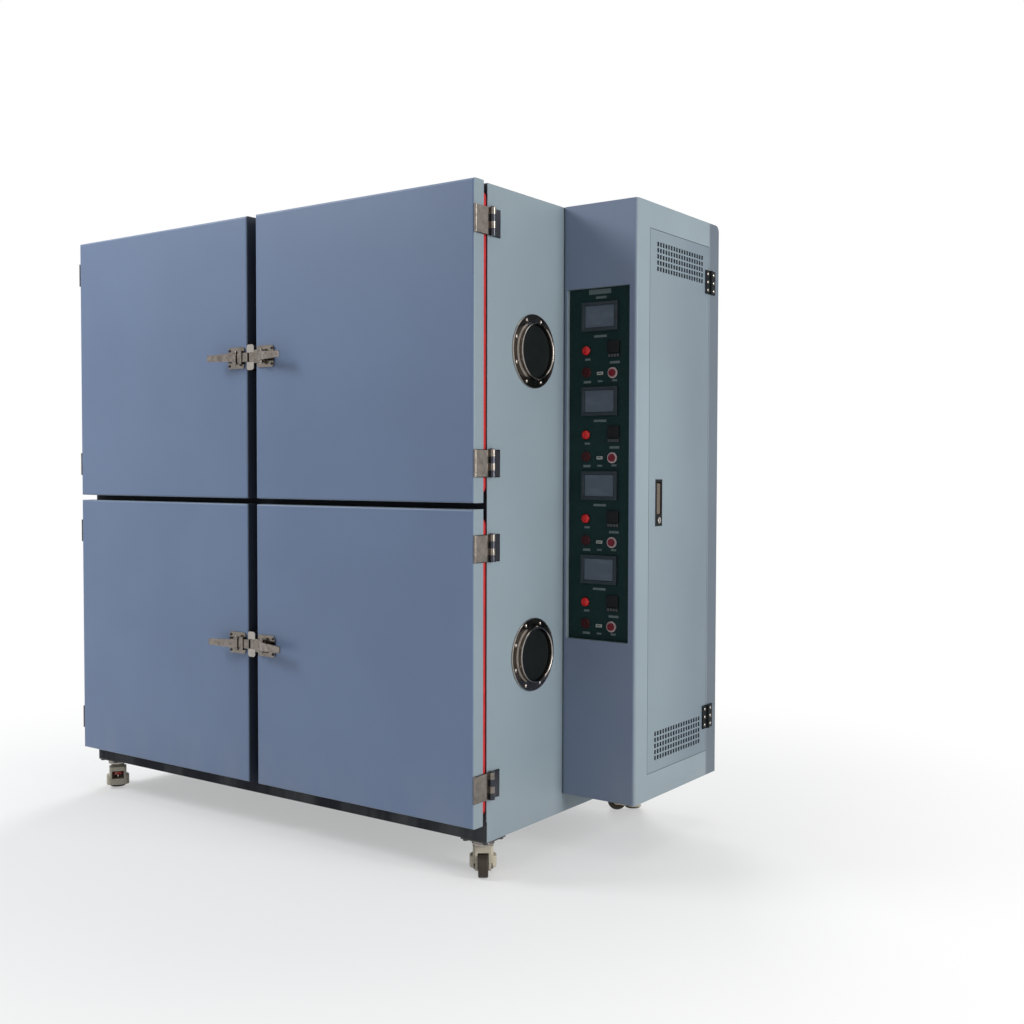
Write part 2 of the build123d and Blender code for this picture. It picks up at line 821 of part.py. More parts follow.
# Control cabinet: six welded sheets with a recess for the panel and a doorway on the right
def control_block(inset):
    x = (half_body + inset, control_right - inset)
    block = span(x, (control_front + inset, body_back - inset), (base_top + inset, body_top - inset))
    top_rear = block.edges().filter_by(Axis.X).group_by(Axis.Y)[-1].sort_by(Axis.Z)[-1]
    block = fillet(top_rear, control_top_rear_radius - inset)
    return fillet(block.edges().filter_by(Axis.Z).group_by(Axis.Y)[0], control_fold - inset)


shell = control_block(0) - control_block(sheet)
recess_x = (recess_left, recess_right)
recess_z = (recess_low, recess_high)
frame_x = (recess_left - sheet, recess_right + sheet)
frame_z = (recess_low - sheet, recess_high + sheet)
shell += span(frame_x, (control_front, panel_front), frame_z)
shell -= span(recess_x, (control_front - 1, panel_front), recess_z)
shell -= span((control_right - sheet - 1, control_right + 1), (service_front, service_rear), (service_low, service_high))
gland_x = (half_body + control_right) / 2
gland_z = base_top + gland_rise
shell -= rod_y(gland_x, (body_back - sheet - 1, body_back + 1), gland_z, gland_neck_radius + seat_gap)
fold_low = body_top - control_top_rear_radius
all_x = (half_body, control_right)
side_y = (panel_front, body_back - sheet)
side_z = (base_top + sheet, fold_low)
welded_sheets = [
    span(all_x, (control_front, panel_front), (base_top, body_top)),
    span(all_x, (panel_front, body_back), (fold_low, body_top)),
    span(all_x, (side_y[1], body_back), (base_top, fold_low)),
    span(all_x, side_y, (base_top, side_z[0])),
    span((half_body, half_body + sheet), side_y, side_z),
    span((control_right - sheet, control_right), side_y, side_z),
]
add("control_cabinet_shell", *[shell & room for room in welded_sheets])

# Control panel and its devices
instrument_x = panel_x + instrument_right
lamp_x = panel_x - lamp_left
button_x = panel_x + button_right
screen_body_x = around(panel_x, screen_width - 2 * screen_body_inset)
neck_y = (panel_front, panel_front + device_neck_depth)
panel = span((recess_left - panel_flange + sheet, recess_right + panel_flange), (panel_front, panel_back),
             (recess_low - panel_flange, recess_high + panel_flange))


def device_hole(x, z, radius):
    return rod_y(x, (panel_front, panel_back), z, radius + seat_gap)


def window(x, z, width, height):
    return span(around(x, width + 2 * seat_gap), (panel_front, panel_back), around(z, height + 2 * seat_gap))


def touch_screen(z):
    bezel = rounded_along_y(around(panel_x, screen_width), (panel_front - screen_proud, panel_front),
                            around(z, screen_height), 3)
    display_x = around(panel_x, screen_width - 2 * screen_frame_x)
    display_z = around(z, screen_height - 2 * screen_frame_z)
    pocket_y = panel_front - screen_proud + display_recess
    bezel -= span(display_x, (panel_front - screen_proud, pocket_y), display_z)
    bezel += span(screen_body_x, (panel_front, panel_front + screen_body_depth),
                  around(z, screen_height - 2 * screen_body_inset))
    display = span((display_x[0] + seat_gap, display_x[1] - seat_gap), (pocket_y - display_thickness, pocket_y),
                   (display_z[0] + seat_gap, display_z[1] - seat_gap))
    return [bezel, display]


def lens(x, z, proud, rounding):
    head = rod_y(x, (panel_front - proud, panel_front), z, lamp_radius)
    head = fillet(head.edges().group_by(Axis.Y)[0], rounding)
    return head + rod_y(x, neck_y, z, device_neck_radius)


def instrument(z):
    block = span(around(instrument_x, instrument_width), (panel_front - instrument_proud, panel_front),
                 around(z, instrument_height))
    body = span(around(instrument_x, instrument_width - 2 * instrument_body_inset), neck_y,
                around(z, instrument_height - 2 * instrument_body_inset))
    counter_z = z - instrument_height / 2 - counter_gap - counter_height / 2
    counter = span(around(instrument_x, instrument_width), (panel_front - counter_proud, panel_front),
                   around(counter_z, counter_height))
    return [block + body, counter]


def button_ring(z):
    ring = rod_y(button_x, (panel_front - button_ring_proud, panel_front), z, button_ring_radius)
    ring += rod_y(button_x, neck_y, z, device_neck_radius)
    bore_y = (panel_front - button_ring_proud, panel_front + button_bore_depth)
    return ring - rod_y(button_x, bore_y, z, button_cap_radius + running_gap)


def button_cap(z):
    y = (panel_front - button_cap_proud, panel_front + button_bore_depth - button_travel - 1)
    cap = rod_y(button_x, y, z, button_cap_radius)
    return fillet(cap.edges().group_by(Axis.Y)[0], 1)


screen_parts, lamp_parts, fitting_parts = [], [], []
for number, z in enumerate(group_z, start=1):
    lamp_z = z - lamp_drop
    buzzer_z = z - buzzer_drop
    button_z = z - button_drop
    socket_z = z - socket_drop
    instrument_z = z - instrument_drop
    panel -= window(panel_x, z, screen_width - 2 * screen_body_inset, screen_height - 2 * screen_body_inset)
    panel -= device_hole(lamp_x, lamp_z, device_neck_radius)
    panel -= device_hole(lamp_x, buzzer_z, device_neck_radius)
    panel -= device_hole(button_x, button_z, device_neck_radius)
    panel -= window(panel_x, socket_z, socket_width - 2, socket_height - 2)
    panel -= window(instrument_x, instrument_z, instrument_width - 2 * instrument_body_inset,
                    instrument_height - 2 * instrument_body_inset)
    screen_parts += touch_screen(z)
    lamp_parts.append(lens(lamp_x, lamp_z, lamp_proud, lamp_round))
    lamp_parts.append(lens(lamp_x, buzzer_z, buzzer_proud, buzzer_round))
    fitting_parts += instrument(instrument_z)
    fitting_parts.append(button_ring(button_z))
    socket = span(around(panel_x, socket_width), (panel_front - socket_proud, panel_front), around(socket_z, socket_height))
    socket += span(around(panel_x, socket_width - 2), neck_y, around(socket_z, socket_height - 2))
    fitting_parts.append(socket)
    add(f"push_button_{number}", button_cap(button_z))
add("control_panel", panel)
add("touch_screens", *screen_parts)
add("indicator_lamps", *lamp_parts)
add("panel_fittings", *fitting_parts)

# Electrical parts on their mounting plate, and the supply gland in the back wall
plate_x = half_body + sheet
face_x = plate_x + sheet
component_y = (control_front + component_plate_margin_y, body_back - component_plate_margin_y)
component_z = (base_top + component_plate_margin_z, body_top - component_plate_margin_z)
electrical = [span((plate_x, face_x), component_y, component_z)]
contactor_y = component_y[0] + component_gap + contactor_width / 2
relay_y = contactor_y + contactor_width / 2 + component_gap + relay_width / 2
for z in group_z:
    electrical.append(span((face_x, face_x + contactor_depth), around(contactor_y, contactor_width),
                           around(z, contactor_height)))
    electrical.append(span((face_x, face_x + relay_depth), around(relay_y, relay_width), around(z, relay_height)))
breaker_z = component_z[0] + component_gap + breaker_height / 2
breaker_y = (component_y[0] + component_y[1]) / 2
electrical.append(span((face_x, face_x + breaker_depth), around(breaker_y, breaker_width),
                       around(breaker_z, breaker_height)))
gland_top = body_back + gland_hex_height + gland_dome_height
hexagon = extrude(Plane.XZ * RegularPolygon(gland_nut_radius, 6), gland_hex_height)
gland = Pos(gland_x, body_back + gland_hex_height, gland_z) * hexagon
gland += rod_y(gland_x, (body_back + gland_hex_height, gland_top), gland_z, gland_dome_radius)
gland += rod_y(gland_x, (body_back - sheet - gland_inner_nut_height, body_back), gland_z, gland_neck_radius)
inner_nut = extrude(Plane.XZ * RegularPolygon(gland_nut_radius, 6), gland_inner_nut_height)
gland += Pos(gland_x, body_back - sheet, gland_z) * inner_nut
gland -= rod_y(gland_x, (body_back - sheet - gland_inner_nut_height, gland_top), gland_z, gland_bore_radius)
electrical.append(gland)
add("electrical_parts", *electrical)

# Service door: folded panel with two slotted grilles, black hinges and a flush lever lock
door_y = (service_front + service_gap, service_rear - service_gap)
door_z = (service_low + service_gap, service_high - service_gap)
service_door = span((control_right - service_depth, control_right), door_y, door_z)
service_door -= span((control_right - service_depth, control_right - sheet),
                     (door_y[0] + sheet, door_y[1] - sheet), (door_z[0] + sheet, door_z[1] - sheet))
slots = Sketch()
grille_y = (service_front + service_rear) / 2
for grille_z in (service_low + grille_end_inset, service_high - grille_end_inset):
    for column in range(grille_columns):
        for row in range(grille_rows):
            dy = (column - (grille_columns - 1) / 2) * grille_pitch_y
            dz = (row - (grille_rows - 1) / 2) * grille_pitch_z
            slots += Pos(grille_y + dy, grille_z + dz) * Rectangle(grille_slot_width, grille_slot_height)
service_door -= Pos(control_right - sheet, 0, 0) * extrude(Plane.YZ * slots, sheet)
cup_y = around(lock_y, lock_width - 2 * lock_flange)
cup_z = around(lock_z, lock_height - 2 * lock_flange)
service_door -= span((control_right - sheet, control_right), (cup_y[0] - seat_gap, cup_y[1] + seat_gap),
                     (cup_z[0] - seat_gap, cup_z[1] + seat_gap))
add("service_door_panel", service_door)


def service_hinge(z, door_side):
    x = (control_right, control_right + service_leaf_thickness)
    near = service_knuckle_radius + seat_gap
    y_end = service_hinge_y - service_leaf if door_side else service_hinge_y + service_leaf
    y_start = service_hinge_y - near if door_side else service_hinge_y + near
    third = service_hinge_height / 3
    leaf = span(x, sorted((y_start, y_end)), around(z, service_hinge_height))
    for index in (-1, 0, 1):
        if (index == 0) == door_side:
            zone = around(z + index * third, third - knuckle_gap)
            leaf += rod_z(service_hinge_x, service_hinge_y, zone, service_knuckle_radius)
            leaf += span(x, sorted((service_hinge_y, y_start)), zone)
    if door_side:
        return leaf - rod_z(service_hinge_x, service_hinge_y, around(z, third), service_pin_radius + running_gap)
    return leaf + rod_z(service_hinge_x, service_hinge_y, around(z, service_hinge_height), service_pin_radius)


service_hinge_z = (service_low + service_hinge_inset, service_high - service_hinge_inset)
add("service_hinge_frame_leaves", *[service_hinge(z, False) for z in service_hinge_z])

# Flush lock: rim on the panel, cup behind it, key barrel below the lever
flange_x = (control_right, control_right + lock_rim)
lock = span(flange_x, around(lock_y, lock_width), around(lock_z, lock_height))
lock += span((control_right - lock_cup_depth, control_right), cup_y, cup_z)
pocket_y = around(lock_y, lock_lever_width + 2 * lock_lever_gap)
pocket_high = lock_z + lock_height / 2 - lock_end_margin
pocket_low = pocket_high - lock_lever_length - 2 * lock_lever_gap
pocket_x = (control_right - lock_lever_depth - lock_lever_gap, flange_x[1])
lock -= span(pocket_x, pocket_y, (pocket_low, pocket_high))
key_z = (pocket_low + lock_z - lock_height / 2) / 2
lock += rod_x((control_right, flange_x[1] + lock_rim / 2), lock_y, key_z, lock_key_radius)
pivot_x = control_right - lock_lever_depth / 2
pivot_z = pocket_high - lock_lever_gap - lock_lever_depth / 2
lock += rod_y(pivot_x, pocket_y, pivot_z, lock_pin_radius)
add("service_door_fittings", lock, *[service_hinge(z, True) for z in service_hinge_z])

lever_y = around(lock_y, lock_lever_width)
lever_low = pocket_high - lock_lever_gap - lock_lever_length
lock_lever = span((control_right - lock_lever_depth, control_right), lever_y, (lever_low, pivot_z))
lock_lever += rod_y(pivot_x, lever_y, pivot_z, lock_lever_depth / 2)
lock_lever -= rod_y(pivot_x, lever_y, pivot_z, lock_pin_radius + running_gap)
add("service_lock_lever", lock_lever)


# Castors: swivelling body with a wheel on one side and a screwed-up levelling pad on the other
def castor_body():
    under_plate = base_bottom - castor_plate_thickness
    race_low = under_plate - race_height
    body = rod_z(0, 0, (race_low, under_plate - seat_gap), race_radius)
    body += rod_z(0, 0, (under_plate - seat_gap, under_plate + kingpin_length - seat_gap), kingpin_radius)
    side_view = Polyline(
        (0, -castor_trail - cheek_setback, wheel_radius + cheek_rise),
        (0, -neck_half_length, race_low),
        (0, neck_half_length, race_low),
        (0, housing_back, column_top),
        (0, housing_back, housing_bottom),
        (0, housing_front, housing_bottom),
        (0, -castor_trail - cheek_setback, wheel_radius - cheek_rise),
        close=True,
    )
    cheeks = extrude(make_face(side_view), cheek_width / 2, both=True)
    cheeks += rod_x(around(0, cheek_width), -castor_trail, wheel_radius, cheek_radius)
    tyre_room = rod_x(around(0, wheel_width + 2 * wheel_side_gap), -castor_trail, wheel_radius,
                      wheel_radius + wheel_tread_gap)
    body += cheeks - tyre_room
    column = span(around(0, column_width), (housing_front, housing_back), (housing_bottom, column_top))
    body += fillet(column.edges().filter_by(Axis.Z), column_corner)
    housing = span(around(0, housing_width), (housing_front, housing_back), (housing_bottom, housing_top))
    housing = fillet(housing.edges().filter_by(Axis.Z), housing_corner)
    body += fillet(housing.edges().group_by(Axis.Z)[0] + housing.edges().group_by(Axis.Z)[-1], housing_round)
    body -= rod_z(0, adjuster_centre, (window_low, window_high), adjuster_radius + wheel_side_gap)
    body -= span(around(0, window_width), (adjuster_centre, housing_back + 1), (window_low, window_high))
    body -= rod_z(0, adjuster_centre, (housing_bottom - 1, window_high), stem_radius + seat_gap)
    body -= rod_x(around(0, wheel_width + 2 * wheel_side_gap), -castor_trail, wheel_radius,
                  wheel_radius + wheel_tread_gap)
    body += rod_x(around(0, cheek_width), -castor_trail, wheel_radius, axle_radius)
    pad_z = (pad_clearance, pad_clearance + pad_thickness)
    foot = rod_z(0, adjuster_centre, pad_z, pad_radius)
    foot += rod_z(0, adjuster_centre, (pad_z[1], window_high - seat_gap), stem_radius)
    adjuster_z = around(window_high - adjuster_below_top, adjuster_height)
    foot += rod_z(0, adjuster_centre, adjuster_z, adjuster_radius)
    return [body, foot]


def castor_wheel():
    wheel = rod_x(around(0, wheel_width), -castor_trail, wheel_radius, wheel_radius)
    wheel = fillet(wheel.edges().filter_by(GeomType.CIRCLE), wheel_round)
    return wheel - rod_x(around(0, wheel_width), -castor_trail, wheel_radius, axle_radius + running_gap)


for name, (x, y) in castor_places.items():
    place = Pos(x, y, 0) * Rot(0, 0, castor_turns[name])
    add(f"{name}_castor_body", *[place * piece for piece in castor_body()])
    add(f"{name}_castor_wheel", place * castor_wheel())

# The row's origin is on the floor, under the middle of everything
whole = Compound([solid for node in nodes.values() for solid in node.solids()])
reach = whole.bounding_box()
origin_x = (reach.min.X + reach.max.X) / 2
origin_y = (reach.min.Y + reach.max.Y) / 2
for name, node in nodes.items():
    export_step(Pos(-origin_x, -origin_y, 0) * node, f"parts/{name}.step")
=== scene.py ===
import json
import math

import bmesh
import bpy
from mathutils import Matrix, Vector

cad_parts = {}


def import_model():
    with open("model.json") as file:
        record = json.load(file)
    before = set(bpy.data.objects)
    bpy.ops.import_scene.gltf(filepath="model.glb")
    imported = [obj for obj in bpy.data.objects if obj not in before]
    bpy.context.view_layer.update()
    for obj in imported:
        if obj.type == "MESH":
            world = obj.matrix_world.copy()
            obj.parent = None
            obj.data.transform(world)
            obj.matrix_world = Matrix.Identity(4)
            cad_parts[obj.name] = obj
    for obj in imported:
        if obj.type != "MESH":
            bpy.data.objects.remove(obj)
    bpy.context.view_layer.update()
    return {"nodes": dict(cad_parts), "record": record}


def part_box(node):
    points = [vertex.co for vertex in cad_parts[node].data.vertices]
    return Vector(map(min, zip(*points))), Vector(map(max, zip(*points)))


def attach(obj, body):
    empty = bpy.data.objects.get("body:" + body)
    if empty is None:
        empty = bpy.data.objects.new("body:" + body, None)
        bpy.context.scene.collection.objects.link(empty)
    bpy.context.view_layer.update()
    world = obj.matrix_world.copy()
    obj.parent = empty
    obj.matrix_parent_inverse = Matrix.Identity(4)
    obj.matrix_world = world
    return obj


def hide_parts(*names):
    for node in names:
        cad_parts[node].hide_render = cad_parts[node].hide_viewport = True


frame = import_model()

levels = ("lower", "upper")
sides = {"left": -1, "right": 1}
forwards, to_the_right, backwards, upwards = (0, -1, 0), (1, 0, 0), (0, 1, 0), (0, 0, 1)

# Lengths are in millimetres from the body's middle, the doors' front and the floor.
# Home takes them to the frame.
fascia_low, fascia_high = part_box("front_fascia")
middle_x = (fascia_low.x + fascia_high.x) / 2
door_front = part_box("upper_right_door_shell")[0].y
home = Matrix.Translation((middle_x, door_front, 0)) @ Matrix.Scale(0.001, 4)

# Body, base and control cabinet
half_body = 855.5
body_back = 956.9
base_front = 61.0
base_underside = 104.0
cabinet_front = 438.0
cabinet_right = 1105.2
half_column_gap = 30.0

# Places where one colour gives way to the next, each over a width of its own. Several of these colours are
# painted light and painted shade on the one paint.
door_fold, door_fold_width = 1.2, 2
sharp_width = 1
service_frame, service_frame_width = 886, 14
service_shade, service_shade_width = 530, 320

# Control panel: one group of devices for each chamber, placed from the middle of its screen
panel_front = 454.0
panel_x = 974.1
group_heights = (1574.0, 1328.0, 1082.0, 836.0)
screen_size, screen_proud = (121, 84), 7.0
display_size, display_proud, display_foot = (96, 62), 5.3, 4.0
lamp_left, lamp_drop, buzzer_drop = 46.5, 97.5, 161
instrument_right, instrument_drop, drum_drop = 46, 90, 115
instrument_size, instrument_face = (40, 34), (30, 22)
drum_strip, drum_size, drum_count, drum_pitch = (40, 12), (7.6, 8.6), 4, 9.6
socket_size, socket_slot = (21, 9), (13, 2.6)
button_right, button_drop = 42, 165

# Side ports
port_y = 281.0
port_heights = {"lower": 597.25, "upper": 1464.75}
port_flange_face = half_body + 2.9
port_screw_count, port_screw_circle = 8, 93

# Door latches, service door and back cover
latch_heights = {"lower": 587.25, "upper": 1470.75}
latch_plate_face = -4.0
latch_pivot_x, latch_pivot_y, latch_pin_end = 56, -17, 21.5
service_hinge_heights = {"lower": 348.5, "upper": 1715.0}
service_hinge_y, service_hinge_face = 895, cabinet_right + 3.9
leaf_screw_out, leaf_screw_pitch = 19, 25
key_y, key_z, key_slot_low, key_slot_high = 570, 980.25, 976.2, 984.2
back_columns = (-844, -560, -280, 0, 280, 560, 844)
back_rows = (500, 800, 1100, 1400, 1660)
back_ends = (254, 1886)

# Castors: place of the swivel, and its turn in degrees. The pad and the axle are placed from the swivel.
castors = {
    "front_left": (-810.5, 106.0, -127.0),
    "front_right": (810.5, 106.0, 37.0),
    "rear_left": (-810.5, 912.0, 20.0),
    "rear_right": (810.5, 912.0, -55.0),
}
pad_middle = (0, 17, 0)
axle_y, axle_z = -36, 31.5


# Colours and finishes
def shown(red, green, blue):
    """A colour as it looks on screen, from 0 to 255, as the linear colour that a shader takes."""
    def linear(share):
        return share / 12.92 if share <= 0.04045 else ((share + 0.055) / 1.055) ** 2.4
    return (linear(red / 255), linear(green / 255), linear(blue / 255), 1.0)


def shaded(colour, share):
    """A colour made darker, or lighter with a share above 1."""
    return tuple(part * share for part in colour[:3]) + (1.0,)


class Value:
    """An output socket, whose arithmetic adds the Math nodes."""

    def __init__(self, nodes, socket):
        self.nodes = nodes
        self.socket = socket

    def maths(self, operation, first, second):
        return self.nodes.node("ShaderNodeMath", {"operation": operation}, {0: first, 1: second})

    def __add__(self, other):
        return self.maths("ADD", self, other)

    def __sub__(self, other):
        return self.maths("SUBTRACT", self, other)

    def __mul__(self, other):
        return self.maths("MULTIPLY", self, other)

    def __rsub__(self, other):
        return self.maths("SUBTRACT", other, self)

    __radd__ = __add__
    __rmul__ = __mul__


class Nodes:
    """A shader's tree. Its node method adds any node, with its settings and its sockets' values or links."""

    def __init__(self, tree):
        self.tree = tree

    def node(self, kind, settings=None, values=None, output=0):
        made = self.tree.nodes.new(kind)
        for name, setting in (settings or {}).items():
            setattr(made, name, setting)
        for name, value in (values or {}).items():
            self.feed(made.inputs[name], value)
        return Value(self, made.outputs[output])

    def feed(self, socket, value):
        if isinstance(value, Value):
            self.tree.links.new(value.socket, socket)
        else:
            socket.default_value = value

    def beheld(self):
        """1 for what the camera, a mirror or a glass sees, and 0 for soft light."""
        seen = self.node("ShaderNodeLightPath", output="Is Camera Ray")
        for name in ("Is Glossy Ray", "Is Transmission Ray"):
            seen = seen.maths("MAXIMUM", seen, self.node("ShaderNodeLightPath", output=name))
        return seen


finishes = {}


class Finish(Nodes):
    """One material, kept under its name in finishes."""

    def __init__(self, name):
        self.material = bpy.data.materials.new(name)
        self.material.use_nodes = True
        super().__init__(self.material.node_tree)
        self.shader = self.tree.nodes["Principled BSDF"]
        finishes[name] = self

    def set(self, **values):
        for name, value in values.items():
            self.feed(self.shader.inputs[name.replace("_", " ")], value)
        return self

    def place(self, scale=(1, 1, 1)):
        """Object coordinates in metres, stretched by scale."""
        coordinates = self.node("ShaderNodeTexCoord", output="Object")
        return self.node("ShaderNodeMapping", None, {"Vector": coordinates, "Scale": scale})

    def noise(self, scale, place=None, detail=3.0, roughness=0.5):
        """Soft mottling from 0 to 1, with about scale spots to a metre."""
        values = {"Vector": place or self.place(), "Scale": scale, "Detail": detail, "Roughness": roughness}
        return self.node("ShaderNodeTexNoise", None, values, output="Fac")

    def ramp(self, value, low, high):
        """0 below low and 1 above high."""
        values = {"Value": value, "From Min": low, "From Max": high}
        return self.node("ShaderNodeMapRange", {"clamp": True, "interpolation_type": "SMOOTHSTEP"}, values)

    def past(self, axis, start, width):
        """0 before a place along X, Y or Z, and 1 past it by a width, both in millimetres."""
        coordinates = self.node("ShaderNodeTexCoord", output="Object")
        along = self.node("ShaderNodeSeparateXYZ", None, {0: coordinates}, output=axis)
        low = home.translation["XYZ".index(axis)] + start / 1000
        return self.ramp(along, low, low + width / 1000)

    def blend(self, factor, first, second, way="MIX"):
        """From one colour to another by a factor. The way MULTIPLY multiplies them.
        A Mix node takes its colours at inputs 6 and 7, and gives one at output 2."""
        settings = {"data_type": "RGBA", "blend_type": way}
        return self.node("ShaderNodeMix", settings, {0: factor, 6: first, 7: second}, output=2)

    def bump(self, height, depth, strength):
        """A normal from a height of 0 to 1 that stands for depth metres."""
        values = {"Height": height, "Strength": strength, "Distance": depth}
        return self.set(Normal=self.node("ShaderNodeBump", None, values))


# Heights of the dust: full up to the first, and gone after the second more, in millimetres
dust_full, dust_fade = 100, 240
white = (1.0, 1.0, 1.0, 1.0)
cloud_shade = (0.93, 0.93, 0.94, 1.0)
speck_colour = shown(190, 196, 204)
dust_colour = shown(164, 166, 164)


def enamel(name, colour, roughness=0.42, gloss=0.32, others=()):
    """Stoved enamel on sheet steel: a fine orange-peel skin, faint clouds, and dust near the floor.
    Others are further colours, each after its mask. Several are painted light and painted shade: tints for
    how the fronts and sides are lit, and darkening in the gap between the doors, under the base and towards
    the rear of the cabinet's right face."""
    finish = Finish(name)
    clouds = finish.noise(2.2, detail=4.0)
    grain = finish.noise(900.0, detail=2.0)
    wipe = finish.noise(9.0, finish.place((1.0, 1.0, 0.25)))
    tone = colour
    for mask, other in others:
        tone = finish.blend(mask(finish), tone, other)
    shade = finish.blend(finish.ramp(clouds, 0.35, 0.68), cloud_shade, white)
    tone = finish.blend(1.0, tone, shade, "MULTIPLY")
    tone = finish.blend(finish.ramp(grain, 0.45, 0.75) * 0.07, tone, speck_colour)
    dust = (1 - finish.past("Z", dust_full, dust_fade)) * finish.ramp(wipe, 0.35, 0.7)
    tone = finish.blend(dust * 0.2, tone, dust_colour)
    finish.set(Base_Color=tone, Roughness=roughness + (wipe - 0.5) * 0.14 + dust * 0.2)
    finish.set(Specular_IOR_Level=gloss)
    peel = finish.noise(420.0, detail=1.5)
    return finish.bump(peel, 0.00012, 0.35)


def brushed(name, colour, roughness):
    """Brushed sheet metal, with level lines."""
    finish = Finish(name)
    lines = finish.noise(22.0, finish.place((1.0, 1.0, 60.0)), detail=5.0, roughness=0.7)
    clouds = finish.noise(5.0)
    tone = finish.blend(finish.ramp(lines, 0.3, 0.7), shaded(colour, 0.84), shaded(colour, 1.08))
    finish.set(Base_Color=tone, Metallic=1.0)
    finish.set(Roughness=roughness + (lines - 0.5) * 0.2 + (clouds - 0.5) * 0.1)
    return finish.bump(lines, 0.00005, 0.4)


def plating(name, colour, roughness, marks_share=0.82):
    """Polished plating: a bright skin with handling marks, which have a share of its brightness."""
    finish = Finish(name)
    marks = finish.noise(60.0, detail=6.0, roughness=0.65)
    fine = finish.noise(700.0, finish.place((1.0, 1.0, 0.2)), detail=2.0)
    tone = finish.blend(finish.ramp(marks, 0.35, 0.75), colour, shaded(colour, marks_share))
    finish.set(Base_Color=tone, Metallic=1.0)
    finish.set(Roughness=roughness + (marks - 0.4) * 0.16 + (fine - 0.5) * 0.05)
    return finish.bump(marks, 0.00012, 0.25)


def moulded(name, colour, roughness, gloss=0.3):
    """Moulded plastic or rubber with a fine spark-eroded grain."""
    finish = Finish(name)
    skin = finish.noise(1400.0, detail=2.0)
    clouds = finish.noise(30.0)
    tone = finish.blend(finish.ramp(clouds, 0.3, 0.7), shaded(colour, 0.9), shaded(colour, 1.1))
    finish.set(Base_Color=tone, Roughness=roughness + (skin - 0.5) * 0.15 + (clouds - 0.5) * 0.08)
    finish.set(Specular_IOR_Level=gloss)
    return finish.bump(skin, 0.00008, 0.3)


def lens(name, colour, glow):
    """A translucent signal lens: deep colour, glossy, with mottled light inside."""
    finish = Finish(name)
    mottle = finish.noise(500.0, detail=1.0)
    finish.set(Base_Color=finish.blend(mottle, shaded(colour, 0.75), colour), Roughness=0.18 + mottle * 0.1)
    finish.set(Specular_IOR_Level=0.35, Emission_Strength=glow)
    return finish.set(Emission_Color=finish.blend(mottle, shaded(colour, 0.5), colour))


def glass(name, colour):
    """A display behind glass, with faint smears."""
    finish = Finish(name)
    smears = finish.noise(24.0, finish.place((1.0, 1.0, 3.0)), detail=4.0)
    tone = finish.blend(finish.ramp(smears, 0.4, 0.75), colour, shaded(colour, 1.18))
    return finish.set(Base_Color=tone, Roughness=0.12 + smears * 0.1, Specular_IOR_Level=0.35)


def wool(name, colour):
    """Mineral wool: short tangled fibres."""
    finish = Finish(name)
    fibres = finish.noise(140.0, finish.place((1.0, 1.0, 6.0)), detail=8.0, roughness=0.75)
    finish.set(Base_Color=finish.blend(fibres, shaded(colour, 0.6), shaded(colour, 1.15)), Roughness=0.95)
    return finish.bump(fibres, 0.004, 0.8)


# The doors' folded edges behind their front face. They get the paler side tint, which is painted light,
# because the doors' fronts and sides are one paint.
def behind_door_face(finish):
    return finish.past("Y", door_fold, door_fold_width)


def shade_between_doors(finish):
    """The doors' folded edges in the narrow gap between the two columns, which get a dark colour as painted
    shade.
    """
    right_of_left_edge = finish.past("X", -half_column_gap - door_fold_width, door_fold_width)
    right_of_right_edge = finish.past("X", half_column_gap, door_fold_width)
    return right_of_left_edge * (1 - right_of_right_edge) * behind_door_face(finish)


def base_strip(finish):
    return 1 - finish.past("Y", base_front + 0.5, sharp_width)


# The base's underside, made near black: painted shade under the base.
def shade_under_base(finish):
    return 1 - finish.past("Z", base_underside - 0.5, sharp_width)


# The cabinet's front, which gets a bluer tint than its sides. This is painted light, because the front and
# sides are one paint.
def cabinet_face(finish):
    return 1 - finish.past("Y", cabinet_front + 0.7, sharp_width)


def cabinet_rear_shade(finish):
    """The folded frame behind the service door, on the right face alone, which gets a darker colour as
    painted shade.
    """
    on_right_face = finish.past("X", cabinet_right - 1.6, sharp_width)
    return finish.past("Y", service_frame, service_frame_width) * on_right_face


# The rear of the service door, towards its hinges, which gets a darker colour: painted shade.
def shade_towards_hinges(finish):
    return finish.past("Y", service_shade, service_shade_width)


# The doors, body and cabinet are one paint. Its paler tint on the sides and its bluer tint on the doors' and
# cabinet's fronts are painted light, for the right and the front being lit differently.
side_lit_blue = shown(136, 151, 160)
# shown(56, 64, 80) is painted shade in the gap between the doors.
enamel("door_enamel", shown(114, 133, 164), others=[
    (behind_door_face, side_lit_blue), (shade_between_doors, shown(56, 64, 80))])
enamel("body_enamel", side_lit_blue)
# The base's near-black underside colour is painted shade.
enamel("base_enamel", side_lit_blue, others=[
    (base_strip, shown(50, 52, 55)), (shade_under_base, shown(48, 46, 44))])
# The cabinet's bluer front tint is painted light, and its darker rear frame is painted shade.
enamel("cabinet_enamel", side_lit_blue, others=[
    (cabinet_face, shown(120, 134, 158)), (cabinet_rear_shade, shown(90, 102, 114))])
